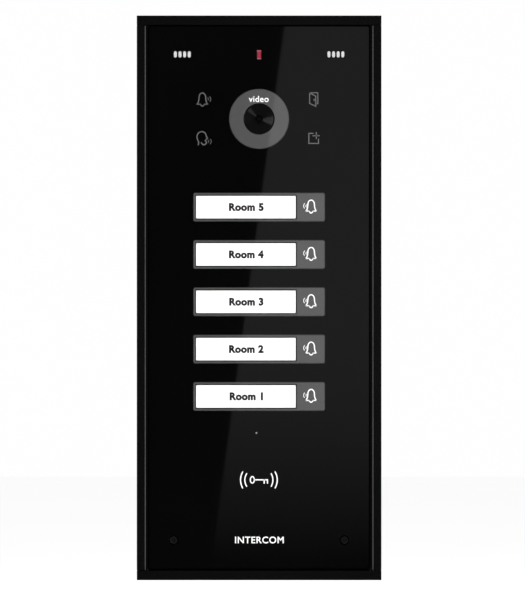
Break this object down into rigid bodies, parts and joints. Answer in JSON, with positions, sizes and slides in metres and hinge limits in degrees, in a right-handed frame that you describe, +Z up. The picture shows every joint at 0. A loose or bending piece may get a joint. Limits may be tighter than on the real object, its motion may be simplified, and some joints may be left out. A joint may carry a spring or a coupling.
{
  "type": "door intercom panel",
  "caption": "Wall-mounted door intercom panel: a column of labelled call keys, a camera in a lit ring, sound slots and status icons in a glossy black sheet with a black metal frame.",
  "frame": {"origin": "middle of the rear plate's back face, which lies on the wall", "axes": "+Z up; the visitor stands on the -Y side and +Y points into the wall; +X is the visitor's right"},
  "size_m": [0.13, 0.034, 0.3],
  "materials": {
    "black_anodised_aluminium": "fine satin black anodising",
    "black_glass": "opaque black, polished front",
    "black_abs": "fine moulded texture",
    "gloss_black_plastic": "polished",
    "smoked_plastic": "smooth, smoked grey",
    "white_card": "matt printed card",
    "grey_silicone": "soft satin",
    "white_porous_plastic": "fine porous",
    "red_filter": "smooth, tinted",
    "clear_plastic": "clear moulded",
    "lens_glass": "coated, polished",
    "circuit_board": "green solder mask",
    "zinc_plated_steel": "bright zinc",
    "microphone_can": "drawn can",
    "black_steel": "black oxide",
    "black_rubber": "matt",
    "grey_foam": "closed-cell foam",
    "white_ribbon": "flat cable",
    "copper_winding": "enamelled wire",
    "green_terminal_plastic": "moulded",
    "blue_relay_plastic": "moulded",
    "speaker_steel": "painted frame and cone"
  },
  "bodies": {
    "housing": {"side_rail_left": "black_anodised_aluminium", "side_rail_right": "black_anodised_aluminium", "top_cap": "black_anodised_aluminium", "bottom_cap": "black_anodised_aluminium", "cap_screw_top_left": "black_steel", "cap_screw_top_right": "black_steel", "cap_screw_bottom_left": "black_steel", "cap_screw_bottom_right": "black_steel", "back_plate": "black_anodised_aluminium", "wall_gasket": "grey_foam", "cable_grommet": "black_rubber", "lock_post_left": "zinc_plated_steel", "lock_post_right": "zinc_plated_steel", "hinge_bracket_left": "zinc_plated_steel", "hinge_bracket_right": "zinc_plated_steel"},
    "front_unit": {"front_panel": "black_glass", "panel_gasket": "grey_foam", "carrier": "black_abs", "front_screw_left": "black_steel", "front_screw_right": "black_steel", "ring_window": "smoked_plastic", "light_board": "circuit_board", "camera_holder": "gloss_black_plastic", "camera_lens": "lens_glass", "camera_module": "circuit_board", "camera_ribbon": "white_ribbon", "sound_insert_left": "white_porous_plastic", "sound_insert_right": "white_porous_plastic", "speaker_left": "speaker_steel", "speaker_right": "speaker_steel", "status_guide_left": "clear_plastic", "status_guide_right": "clear_plastic", "mic_boot": "black_rubber", "mic_capsule": "microphone_can", "sensor_window": "red_filter", "tag_reader_coil": "copper_winding", "main_board": "circuit_board", "board_screw_1": "zinc_plated_steel", "board_screw_2": "zinc_plated_steel", "board_screw_3": "zinc_plated_steel", "board_screw_4": "zinc_plated_steel", "terminal_block": "green_terminal_plastic", "lock_relay": "blue_relay_plastic", "tamper_switch": "black_abs", "key_dome_1": "grey_silicone", "key_dome_2": "grey_silicone", "key_dome_3": "grey_silicone", "key_dome_4": "grey_silicone", "key_dome_5": "grey_silicone"},
    "call_key_1_body": {"call_key_1": "smoked_plastic", "name_card_1": "white_card"},
    "call_key_2_body": {"call_key_2": "smoked_plastic", "name_card_2": "white_card"},
    "call_key_3_body": {"call_key_3": "smoked_plastic", "name_card_3": "white_card"},
    "call_key_4_body": {"call_key_4": "smoked_plastic", "name_card_4": "white_card"},
    "call_key_5_body": {"call_key_5": "smoked_plastic", "name_card_5": "white_card"},
    "tamper_body": {"tamper_plunger": "grey_silicone"}
  },
  "joints": [
    {"name": "front_swing", "type": "hinge", "parent": "housing", "child": "front_unit", "pos_m": [0, -0.0265, 0.132], "axis": [-1, 0, 0], "range_deg": [0, 60]},
    {"name": "key_1_press", "type": "slide", "parent": "front_unit", "child": "call_key_1_body", "axis": [0, 1, 0], "range_m": [0, 0.0008], "stiffness_N_per_m": 900, "springref_m": -0.0006, "deforming": ["key_dome_1"]},
    {"name": "key_2_press", "type": "slide", "parent": "front_unit", "child": "call_key_2_body", "axis": [0, 1, 0], "range_m": [0, 0.0008], "stiffness_N_per_m": 900, "springref_m": -0.0006, "deforming": ["key_dome_2"]},
    {"name": "key_3_press", "type": "slide", "parent": "front_unit", "child": "call_key_3_body", "axis": [0, 1, 0], "range_m": [0, 0.0008], "stiffness_N_per_m": 900, "springref_m": -0.0006, "deforming": ["key_dome_3"]},
    {"name": "key_4_press", "type": "slide", "parent": "front_unit", "child": "call_key_4_body", "axis": [0, 1, 0], "range_m": [0, 0.0008], "stiffness_N_per_m": 900, "springref_m": -0.0006, "deforming": ["key_dome_4"]},
    {"name": "key_5_press", "type": "slide", "parent": "front_unit", "child": "call_key_5_body", "axis": [0, 1, 0], "range_m": [0, 0.0008], "stiffness_N_per_m": 900, "springref_m": -0.0006, "deforming": ["key_dome_5"]},
    {"name": "tamper_press", "type": "slide", "parent": "front_unit", "child": "tamper_body", "axis": [0, -1, 0], "range_m": [0, 0.001], "stiffness_N_per_m": 400, "springref_m": -0.001}
  ]
}
